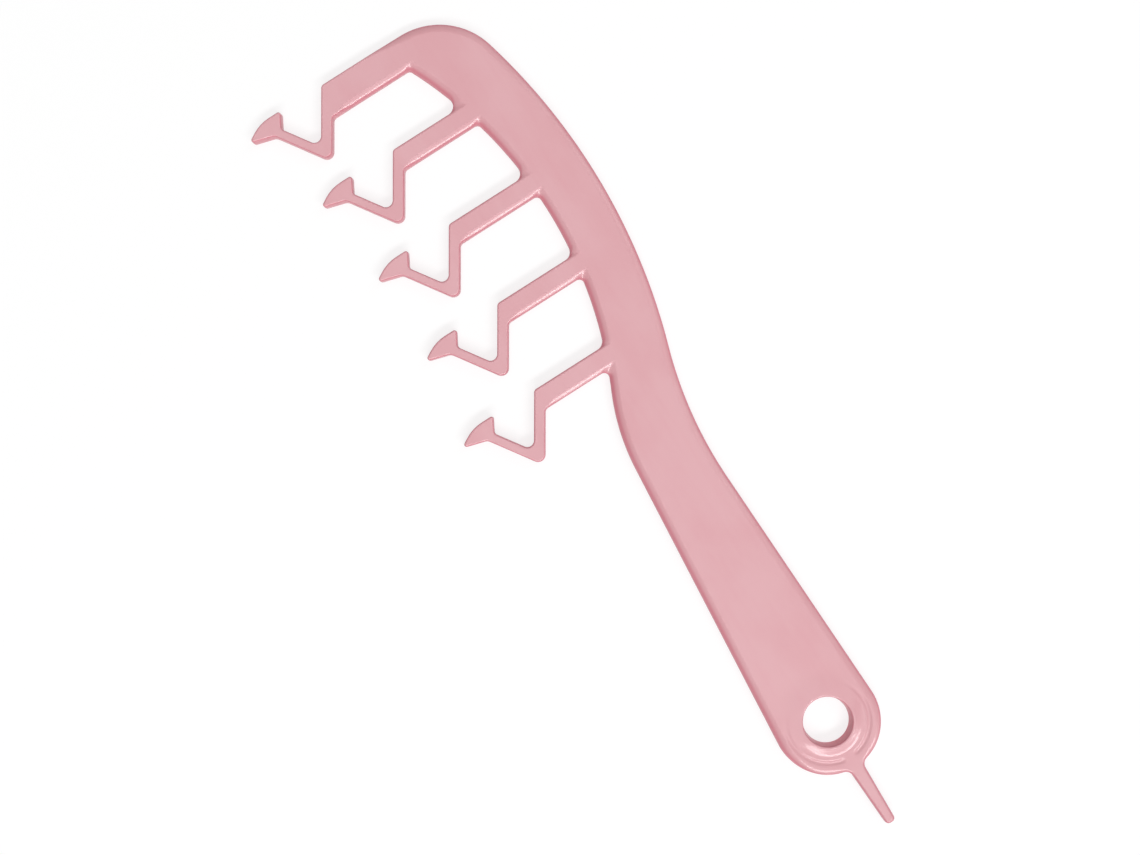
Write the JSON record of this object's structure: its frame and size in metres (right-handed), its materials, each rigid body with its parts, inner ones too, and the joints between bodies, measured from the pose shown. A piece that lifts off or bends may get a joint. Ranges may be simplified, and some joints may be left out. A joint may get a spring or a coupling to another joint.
{
  "type": "wide tooth parting comb",
  "caption": "Flat moulded comb with a curved spine, wide-set zig-zag parting teeth, a tapered handle with a hanging eye, and a short parting pin.",
  "frame": {"origin": "the middle of the comb's outline, on the flat back it lies on", "axes": "+Y towards the head, -Y towards the pin, -X towards the teeth's caps, +Z out of the face with the raised collar"},
  "size_m": [0.053, 0.1802, 0.0036],
  "materials": {
    "pink_plastic": "satin gloss, dusty pink, coloured through"
  },
  "bodies": {
    "root": {"spine": "pink_plastic", "handle": "pink_plastic", "tail_pin": "pink_plastic", "tooth_1": "pink_plastic", "tooth_2": "pink_plastic", "tooth_3": "pink_plastic", "tooth_4": "pink_plastic", "tooth_5": "pink_plastic"}
  },
  "joints": []
}
